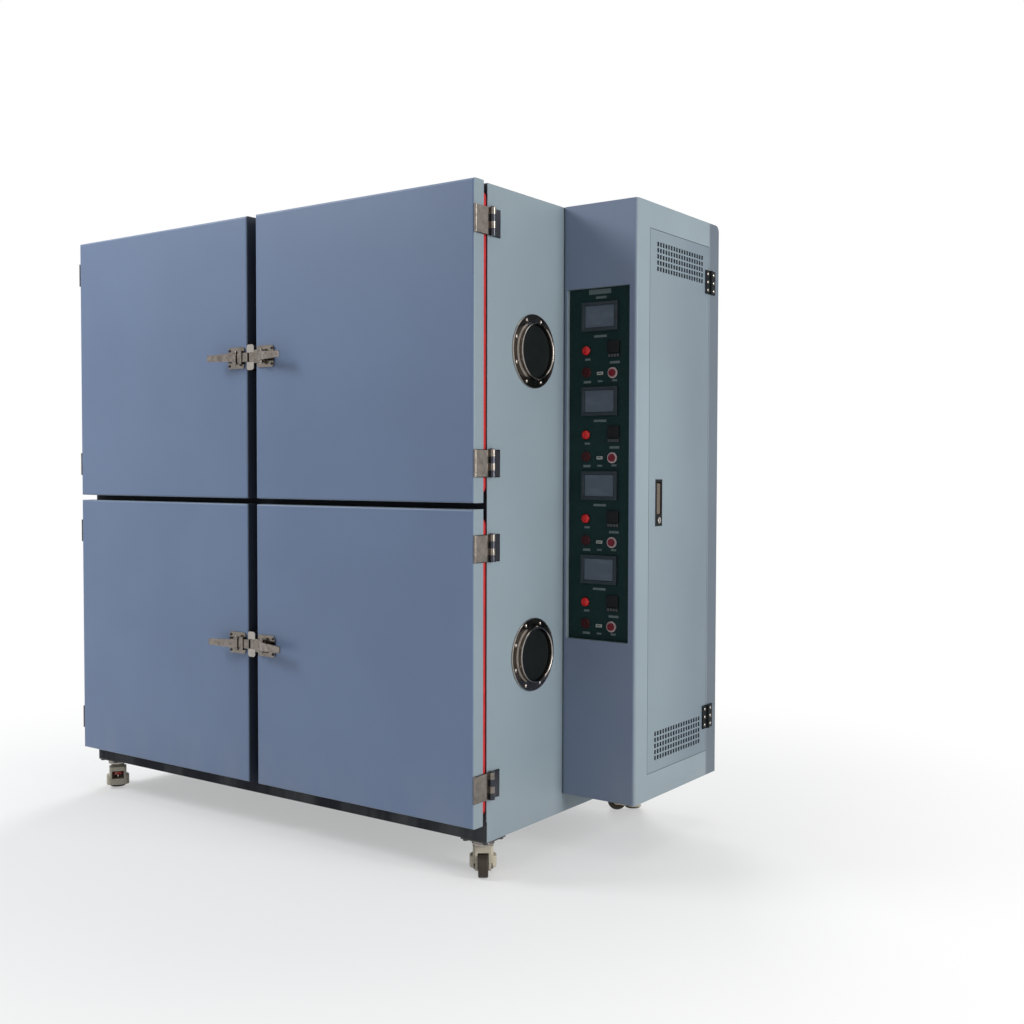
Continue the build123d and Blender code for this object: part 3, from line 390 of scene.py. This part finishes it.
# The service door's darker colour towards its hinges is painted shade.
enamel("service_enamel", shown(127, 142, 151), others=[(shade_towards_hinges, shown(112, 127, 138))])
enamel("dark_enamel", shown(24, 28, 38), 0.6, gloss=0.1)
enamel("panel_green", shown(23, 49, 48), 0.5, gloss=0.06)
enamel("motor_enamel", shown(34, 36, 38), 0.5, gloss=0.2)
enamel("cream_enamel", shown(196, 188, 168), 0.4, gloss=0.4)
brushed("stainless", shown(170, 172, 174), 0.32)
plating("chrome", shown(132, 125, 118), 0.16, 0.62)
plating("lever_chrome", shown(138, 130, 124), 0.1, 0.5)
plating("bright_chrome", shown(168, 162, 156), 0.12)
plating("dark_chrome", shown(66, 68, 74), 0.22)
plating("bronze", shown(110, 98, 86), 0.25)
moulded("red_silicone", shown(190, 44, 46), 0.55)
moulded("black_plastic", shown(20, 24, 25), 0.5, gloss=0.08)
moulded("dark_plastic", shown(30, 31, 33), 0.45, gloss=0.12)
moulded("screen_frame", shown(52, 61, 67), 0.4, gloss=0.2)
moulded("buzzer_brown", shown(62, 22, 26), 0.4, gloss=0.2)
moulded("red_button", shown(116, 14, 34), 0.3, gloss=0.4)
moulded("ring_white", shown(196, 172, 172), 0.3, gloss=0.5)
moulded("socket_white", shown(176, 180, 174), 0.4)
moulded("drum_grey", shown(84, 88, 90), 0.5, gloss=0.1)
moulded("label_grey", shown(108, 120, 119), 0.5, gloss=0.1)
moulded("wheel_nylon", shown(66, 59, 52), 0.5, gloss=0.2)
moulded("red_nylon", shown(158, 30, 34), 0.4)
moulded("pad_rubber", shown(24, 24, 24), 0.6, gloss=0.15)
glass("display_glass", shown(88, 97, 110))
lens("red_lens", shown(168, 12, 16), glow=0.35)
wool("mineral_wool", shown(196, 184, 148))

slot_finishes = {
    "blue_paint": "body_enamel",
    "dark_paint": "dark_enamel",
    "stainless": "stainless",
    "chrome_plating": "chrome",
    "red_silicone": "red_silicone",
    "black_plastic": "black_plastic",
    "panel_green": "panel_green",
    "screen_plastic": "screen_frame",
    "red_lens": "red_lens",
    "red_button": "red_button",
    "fitting_plastic": "dark_plastic",
    "mineral_wool": "mineral_wool",
    "motor_paint": "motor_enamel",
    "fan_steel": "stainless",
    "component_plastic": "dark_plastic",
    "castor_paint": "cream_enamel",
    "castor_nylon": "wheel_nylon",
    "bronze_plating": "bronze",
}
node_finishes = {
    "base_frame": "base_enamel",
    "control_cabinet_shell": "cabinet_enamel",
    "service_door_panel": "service_enamel",
    "body_hinge_leaves": "dark_chrome",
    "latch_keepers": "bright_chrome",
}
for level in levels:
    for side in sides:
        node_finishes[f"{level}_{side}_door_shell"] = "door_enamel"
        node_finishes[f"{level}_{side}_latch_lever"] = "lever_chrome"


def dress(piece, finish):
    piece.data.materials.clear()
    piece.data.materials.append(finishes[finish].material)


for entry in frame["record"]["subparts"]:
    node = entry["node"]
    dress(frame["nodes"][node], node_finishes.get(node, slot_finishes[entry["material_slot"]]))


# Shapes
def box(shape, low, high, rounding=0.0, segments=2):
    """A block between two corners, with its edges rounded."""
    low, high = Vector(low), Vector(high)
    verts = bmesh.ops.create_cube(shape, size=1.0)["verts"]
    bmesh.ops.scale(shape, verts=verts, vec=high - low)
    bmesh.ops.translate(shape, verts=verts, vec=(low + high) / 2)
    if rounding:
        edges = list({edge for vert in verts for edge in vert.link_edges})
        bmesh.ops.bevel(shape, geom=edges, offset=rounding, offset_type="OFFSET", segments=segments,
                        affect="EDGES", profile=0.5, material=-1)


def panel_box(shape, x, z, size, proud, foot=0.0, rounding=0.0, segments=2):
    """A block on the control panel, by its middle and its size. Its front stands proud of the panel, and its
    foot is 0 on it."""
    width, height = size
    low = (x - width / 2, panel_front - proud, z - height / 2)
    high = (x + width / 2, panel_front - foot, z + height / 2)
    box(shape, low, high, rounding, segments)


def turned(shape, middle, axis, outline, steps=32):
    """A turned shape. Its outline is a row of distances along the axis, each with a radius."""
    middle, axis = Vector(middle), Vector(axis).normalized()
    across = axis.orthogonal().normalized()
    points = [shape.verts.new(middle + axis * along + across * radius) for along, radius in outline]
    edges = [shape.edges.new(pair) for pair in zip(points, points[1:])]
    bmesh.ops.spin(shape, geom=points + edges, cent=middle, axis=axis, dvec=(0, 0, 0), angle=math.tau,
                   steps=steps, use_merge=True, use_normal_flip=False, use_duplicate=False)
    bmesh.ops.remove_doubles(shape, verts=shape.verts, dist=0.001)


def screw(shape, middle, axis, radius, height):
    """A domed screw head with a round drive hole."""
    drive = radius * 0.42
    turned(shape, middle, axis, [
        (0, radius), (height * 0.45, radius), (height * 0.85, radius * 0.8), (height, radius * 0.55),
        (height, drive), (height * 0.4, drive * 0.9), (height * 0.4, 0)], steps=16)


def add_to(shape, part):
    """Joins a part's shape to another."""
    mesh = bpy.data.meshes.new("part")
    part.to_mesh(mesh)
    part.free()
    shape.from_mesh(mesh)
    bpy.data.meshes.remove(mesh)


def in_scene(name, data):
    """A new object in the scene."""
    made = bpy.data.objects.new(name, data)
    bpy.context.scene.collection.objects.link(made)
    return made


def piece(name, body, finish, shape, place=None, replaces=()):
    """Makes a shape in millimetres a piece that rides on a body."""
    bmesh.ops.remove_doubles(shape, verts=shape.verts, dist=0.001)
    bmesh.ops.transform(shape, matrix=home @ (place or Matrix()), verts=shape.verts)
    bmesh.ops.recalc_face_normals(shape, faces=shape.faces)
    mesh = bpy.data.meshes.new(name)
    shape.to_mesh(mesh)
    shape.free()
    for polygon in mesh.polygons:
        polygon.use_smooth = True
    mesh.set_sharp_from_angle(angle=0.6)
    made = in_scene(name, mesh)
    dress(made, finish)
    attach(made, body)
    if replaces:
        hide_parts(*replaces)


def screens():
    """Touch screens: a bezel that slopes in to a recessed display behind glass."""
    frames, displays = bmesh.new(), bmesh.new()
    for z in group_heights:
        panel_box(frames, panel_x, z, screen_size, screen_proud)
        middle = Vector((panel_x, panel_front - screen_proud, z))
        window = min(frames.faces, key=lambda face: (face.calc_center_median() - middle).length)
        for thickness, depth in ((1.2, 1.2), (10.0, 0), (1.6, -3.2)):
            bmesh.ops.inset_region(frames, faces=[window], thickness=thickness, depth=depth)
        panel_box(displays, panel_x, z, display_size, display_proud, display_foot)
    piece("touch_screen_frames", "body", "screen_frame", frames, replaces=["touch_screens"])
    piece("touch_screen_displays", "body", "display_glass", displays)


def lamps_and_buzzers():
    """Signal lamps with a stepped dome in a collar, and buzzers with a slotted cap below them."""
    lenses, collars, buzzers = bmesh.new(), bmesh.new(), bmesh.new()
    for z in group_heights:
        lamp = (panel_x - lamp_left, panel_front, z - lamp_drop)
        buzzer = (panel_x - lamp_left, panel_front, z - buzzer_drop)
        turned(lenses, lamp, forwards, [
            (2.5, 12.9), (5.5, 12.6), (7.6, 11.0), (9.0, 8.2), (9.6, 5.4), (9.2, 4.6), (9.9, 3.6),
            (10.0, 0)], steps=40)
        turned(collars, lamp, forwards, [
            (0, 15.0), (2.6, 15.0), (3.4, 14.4), (3.4, 13.3), (2.6, 12.7)], steps=40)
        turned(buzzers, buzzer, forwards, [
            (0, 15.0), (3.4, 15.0), (5.0, 13.8), (5.2, 11.4), (4.2, 11.0), (4.2, 9.6), (5.7, 9.2), (6.0, 3.4),
            (5.0, 3.0), (5.0, 0)], steps=40)
        for degrees in (0, 60, 120):
            turn = Matrix.Rotation(math.radians(degrees), 4, "Y")
            rib = bmesh.new()
            box(rib, (-1.0, -6.6, -8.6), (1.0, -5.2, 8.6), rounding=0.4, segments=1)
            bmesh.ops.transform(rib, matrix=Matrix.Translation(buzzer) @ turn, verts=rib.verts)
            add_to(buzzers, rib)
    piece("signal_lamps", "body", "red_lens", lenses, replaces=["indicator_lamps"])
    piece("lamp_collars", "body", "dark_plastic", collars)
    piece("buzzers", "body", "buzzer_brown", buzzers)


def bare_plate(plates, x, z, width, height):
    panel_box(plates, x, z, (width, height), proud=0.6, rounding=0.25, segments=1)


def panel_devices():
    """Instruments with their number drums, sockets, button rings, and the bare plates beside them all."""
    cases, drums, sockets, rings, plates = (bmesh.new() for _ in range(5))
    instrument_x = panel_x + instrument_right
    first_drum_x = instrument_x - drum_pitch * (drum_count - 1) / 2
    for z in group_heights:
        instrument_z, drum_z, button_z = z - instrument_drop, z - drum_drop, z - button_drop
        panel_box(cases, instrument_x, instrument_z, instrument_size, proud=6.0, rounding=1.2)
        panel_box(cases, instrument_x, instrument_z, instrument_face, proud=6.8, foot=5.9,
                  rounding=0.4, segments=1)
        panel_box(cases, instrument_x, drum_z, drum_strip, proud=2.2, rounding=0.6, segments=1)
        for number in range(drum_count):
            drum_x = first_drum_x + drum_pitch * number
            panel_box(drums, drum_x, drum_z, drum_size, proud=3.0, foot=2.0, rounding=0.4, segments=1)
        panel_box(sockets, panel_x, button_z, socket_size, proud=3.0, rounding=1.2)
        panel_box(cases, panel_x, button_z, socket_slot, proud=3.2, foot=2.9)
        turned(rings, (panel_x + button_right, panel_front, button_z), forwards, [
            (0, 16.0), (2.6, 16.0), (4.0, 14.8), (4.0, 11.9), (3.2, 10.9), (0.2, 10.7)], steps=48)
        for right, up, width, height in (
                (0, -57, 43, 7), (-43, -123, 18, 6), (-44, -189, 25, 7),
                (0, -188, 16, 5), (48, -187, 17, 6), (49, -135, 33, 7)):
            bare_plate(plates, panel_x + right, z + up, width, height)
    bare_plate(plates, panel_x - 2, group_heights[0] + 72, 75, 14)
    bare_plate(plates, panel_x + 2, group_heights[0] + 55, 36, 7)
    piece("instruments", "body", "dark_plastic", cases, replaces=["panel_fittings"])
    piece("number_drums", "body", "drum_grey", drums)
    piece("small_sockets", "body", "socket_white", sockets)
    piece("button_rings", "body", "ring_white", rings)
    piece("bare_plates", "body", "label_grey", plates)


def port_details():
    """Screws of the port flanges, and the rounded rims of flange and collar."""
    for level, z in port_heights.items():
        heads, rims = bmesh.new(), bmesh.new()
        for number in range(port_screw_count):
            angle = math.tau * (number + 0.5) / port_screw_count
            place = (port_y + port_screw_circle * math.cos(angle), z + port_screw_circle * math.sin(angle))
            screw(heads, (port_flange_face, *place), to_the_right, radius=6.0, height=3.4)
        # Each rim's two ends, from the wall outwards, and its radius
        for low, high, outer in ((0.0, 5.0, 105.4), (17.0, 19.6, 80.2)):
            turned(rims, (half_body, port_y, z), to_the_right, [
                (low, outer), (high - 1.4, outer), (high - 0.3, outer - 0.7), (high, outer - 2.0),
                (high - 0.5, outer - 3.4), (low + 1.0, outer - 4.2)], steps=72)
        piece(f"{level}_port_screws", "body", "bright_chrome", heads)
        piece(f"{level}_port_rims", "body", "bright_chrome", rims)


def latch_details():
    """Bolts of the latch plates, and heads of their pivot pins."""
    for level, z in latch_heights.items():
        for side, sign in sides.items():
            door = f"{level}_{side}_door"
            bolts, pins = bmesh.new(), bmesh.new()
            for x, up in ((35.5, 14.7), (35.5, -14.7), (93.0, 24.0), (93.0, -24.0)):
                screw(bolts, (sign * x, latch_plate_face, z + up), forwards, radius=4.6, height=3.0)
            for way in (1, -1):
                turned(pins, (sign * latch_pivot_x, latch_pivot_y, z + way * latch_pin_end), (0, 0, way), [
                    (0, 5.0), (1.4, 5.0), (2.2, 4.0), (2.4, 0)], steps=24)
            piece(f"{level}_{side}_latch_bolts", door, "dark_chrome", bolts)
            piece(f"{level}_{side}_latch_pin_heads", door, "bright_chrome", pins)


def service_hinge_screws():
    for level, z in service_hinge_heights.items():
        for part, body, way in (("door", "service_door", -1), ("frame", "body", 1)):
            heads = bmesh.new()
            y = service_hinge_y + way * leaf_screw_out
            for number in (-1, 0, 1):
                place = (service_hinge_face, y, z + leaf_screw_pitch * number)
                screw(heads, place, to_the_right, radius=4.8, height=2.2)
            piece(f"{level}_service_hinge_{part}_screws", body, "bright_chrome", heads)


def lock_details():
    """The lock's chrome key barrel with its slot."""
    barrel, slot = bmesh.new(), bmesh.new()
    turned(barrel, (cabinet_right + 2.8, key_y, key_z), to_the_right, [
        (0, 9.4), (0.9, 9.2), (1.5, 8.2), (1.5, 6.6), (0.9, 6.2), (0.9, 0)])
    low = (cabinet_right + 3.4, key_y - 0.8, key_slot_low)
    high = (cabinet_right + 4.0, key_y + 0.8, key_slot_high)
    box(slot, low, high)
    piece("key_barrel", "service_door", "bright_chrome", barrel)
    piece("key_slot", "service_door", "black_plastic", slot)


def back_screws():
    heads = bmesh.new()
    places = [(x, z) for x in back_columns for z in back_ends]
    places += [(x, z) for z in back_rows for x in (back_columns[0], back_columns[-1])]
    for x, z in places:
        screw(heads, (x, body_back, z), backwards, radius=5.5, height=2.6)
    piece("back_cover_screws", "body", "stainless", heads)


def ribbed_wheel(shape, middle, low, high, radius, ribs, rib_depth):
    """A hand wheel with a ribbed rim, between two heights."""
    turned(shape, middle, upwards, [
        (low, 0), (low, radius - 1.4), (low + 1.2, radius), (high - 1.2, radius), (high, radius - 1.4),
        (high, 0)], steps=ribs * 2)
    rim = [vert for vert in shape.verts if (vert.co - Vector(middle)).xy.length > radius - 0.5]
    for vert in rim:
        out = vert.co - Vector(middle)
        turn = round(math.atan2(out.y, out.x) / math.pi * ribs)
        if turn % 2:
            vert.co -= Vector((out.x, out.y, 0)).normalized() * rib_depth


def castor_details(place, x, y, turn):
    """A castor's hand wheel, levelling pad, screw and swivel ring, and the heads of its axle."""
    stand = Matrix.Translation((x, y, 0)) @ Matrix.Rotation(math.radians(turn), 4, "Z")
    body = f"{place}_castor"
    wheel, pad, metal, caps = (bmesh.new() for _ in range(4))
    ribbed_wheel(wheel, pad_middle, low=48.0, high=58.2, radius=19.2, ribs=26, rib_depth=1.3)
    turned(pad, pad_middle, upwards, [
        (7.6, 0), (7.6, 24.4), (8.6, 25.6), (12.4, 25.6), (14.4, 24.0), (15.0, 14.0), (17.5, 9.5),
        (17.5, 6.3)], steps=48)
    turned(metal, pad_middle, upwards, [(15, 6.4), (61.5, 6.4)], steps=24)
    turned(metal, (0, 0, 0), upwards, [
        (83.5, 24.0), (84.5, 31.6), (90.2, 32.4), (91.4, 31.2), (92.6, 32.4), (98.4, 32.4), (99.6, 31.0),
        (99.6, 12.0)], steps=56)
    for way in (1, -1):
        turned(caps, (way * 22.0, axle_y, axle_z), (way, 0, 0), [
            (0, 9.5), (0.8, 9.5), (0.8, 8.4), (4.6, 8.4), (5.4, 7.6), (5.4, 0)], steps=6)
        turned(caps, (way * 14.4, axle_y, axle_z), (way, 0, 0), [(0, 9.0), (1.1, 8.6), (1.1, 5.0)])
    piece(f"{place}_castor_thumbwheel", body, "red_nylon", wheel, stand)
    piece(f"{place}_castor_pad", body, "pad_rubber", pad, stand)
    piece(f"{place}_castor_swivel", body, "bright_chrome", metal, stand)
    piece(f"{place}_castor_axle", body, "chrome", caps, stand)


screens()
lamps_and_buzzers()
panel_devices()
port_details()
latch_details()
service_hinge_screws()
lock_details()
back_screws()
for place, (x, y, turn) in castors.items():
    castor_details(place, x, y, turn)


# Camera and studio, in metres
def camera(place, yaw, pitch, roll, lens):
    """Yaw turns to the left of straight ahead, pitch upwards, and roll anticlockwise, in radians."""
    data = bpy.data.cameras.new("camera")
    data.lens = lens
    data.sensor_width = 36.0
    made = in_scene("camera", data)
    bpy.context.scene.camera = made
    ahead = Vector((-math.sin(yaw), math.cos(yaw), 0))
    right = Vector((math.cos(yaw), math.sin(yaw), 0))
    up = Vector(upwards)
    view_ahead = ahead * math.cos(pitch) + up * math.sin(pitch)
    view_up = up * math.cos(pitch) - ahead * math.sin(pitch)
    view_right = right * math.cos(roll) + view_up * math.sin(roll)
    view_up = view_up * math.cos(roll) - right * math.sin(roll)
    turn = Matrix((view_right, view_up, -view_ahead)).transposed()
    made.matrix_world = Matrix.Translation(place) @ turn.to_4x4()


def floor(near_share):
    """A pale floor that keeps the object's shadow. A share of the background's white is mixed in near the
    object, and all of it further out."""
    mesh = bpy.data.meshes.new("floor")
    shape = bmesh.new()
    bmesh.ops.create_grid(shape, x_segments=1, y_segments=1, size=40)
    shape.to_mesh(mesh)
    shape.free()
    finish = Finish("floor")
    clouds = finish.noise(1.5)
    finish.set(Base_Color=finish.blend(clouds, shaded(white, 0.80), shaded(white, 0.83)))
    finish.set(Roughness=0.8, Specular_IOR_Level=0.2)
    away = finish.node("ShaderNodeVectorMath", {"operation": "LENGTH"}, {0: finish.place()}, output="Value")
    background = finish.node("ShaderNodeEmission", None, {"Strength": 1.0})
    share = finish.beheld() * (near_share + finish.ramp(away, 1.1, 2.6) * (1 - near_share))
    surface = Value(finish, finish.shader.outputs[0])
    mixed = finish.node("ShaderNodeMixShader", None, {0: share, 1: surface, 2: background})
    finish.feed(finish.tree.nodes["Material Output"].inputs["Surface"], mixed)
    mesh.materials.append(finish.material)
    in_scene("floor", mesh)


def world(soft_light):
    """A white background, which lights the object at a lower level than it is seen at."""
    made = bpy.data.worlds.new("studio")
    bpy.context.scene.world = made
    made.use_nodes = True
    sky = Nodes(made.node_tree)
    background = sky.tree.nodes["Background"]
    values = {"Value": sky.beheld(), "To Min": soft_light, "To Max": 1.0}
    sky.feed(background.inputs["Strength"], sky.node("ShaderNodeMapRange", None, values))
    sky.feed(background.inputs["Color"], white)


def soft_lamp(name, place, target, size, watts, colour=(1, 1, 1)):
    data = bpy.data.lights.new(name, "AREA")
    data.shape = "RECTANGLE"
    data.size, data.size_y = size
    data.energy = watts
    data.color = colour
    made = in_scene(name, data)
    made.location = place
    made.rotation_euler = (Vector(target) - Vector(place)).to_track_quat("-Z", "Y").to_euler()


camera_place = (middle_x + 2.8362, door_front - 2.6145, 1.12455)
camera(camera_place, yaw=0.6169, pitch=-0.0336, roll=0.0024, lens=43.07)
floor(near_share=0.42)
world(soft_light=0.23)
soft_lamp("front_lamp", (-3.0, -2.9, 4.2), (-0.5, -0.4, 1.3), (1.8, 1.8), 145, (0.95, 0.97, 1.0))
soft_lamp("right_lamp", (4.6, -0.1, 1.7), (0.9, 0.1, 0.9), (1.4, 2.2), 108, (1.0, 0.99, 0.97))
soft_lamp("top_lamp", (0.2, 0.2, 4.8), (0, 0, 1.0), (3.0, 3.0), 60)
soft_lamp("rear_lamp", (-2.6, 4.4, 2.6), (0, 0.4, 1.0), (2.4, 2.4), 190)
bpy.context.scene.view_settings.view_transform = "Standard"
